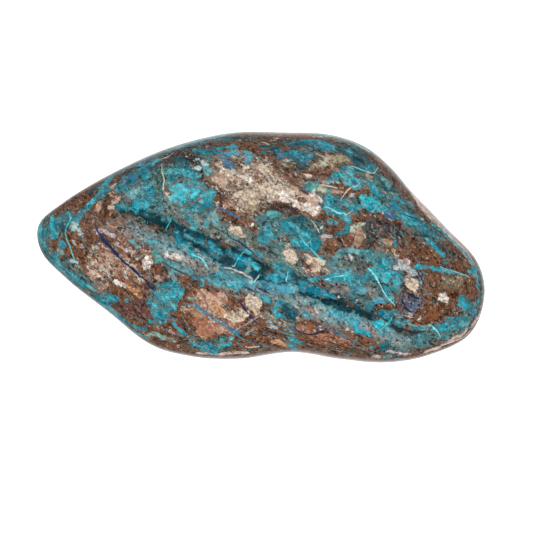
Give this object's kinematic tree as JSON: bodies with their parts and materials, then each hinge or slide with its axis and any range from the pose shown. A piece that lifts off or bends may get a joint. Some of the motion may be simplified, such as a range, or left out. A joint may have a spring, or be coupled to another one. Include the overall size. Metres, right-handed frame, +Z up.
{
  "type": "polished chrysocolla freeform",
  "caption": "Pebble-like freeform of chrysocolla in brown breccia, ground and polished all over, with shallow thumb grooves across the top and a small flat to rest on.",
  "frame": {"origin": "on the surface the stone stands on, under the middle of its bounding box", "axes": "+X along the length towards the blunt end, +Y across the width towards the straighter side, +Z up out of the grooved face"},
  "size_m": [0.092, 0.0476, 0.028],
  "materials": {
    "polished_chrysocolla": "polished"
  },
  "bodies": {
    "root": {"chrysocolla_stone": "polished_chrysocolla"}
  },
  "joints": []
}
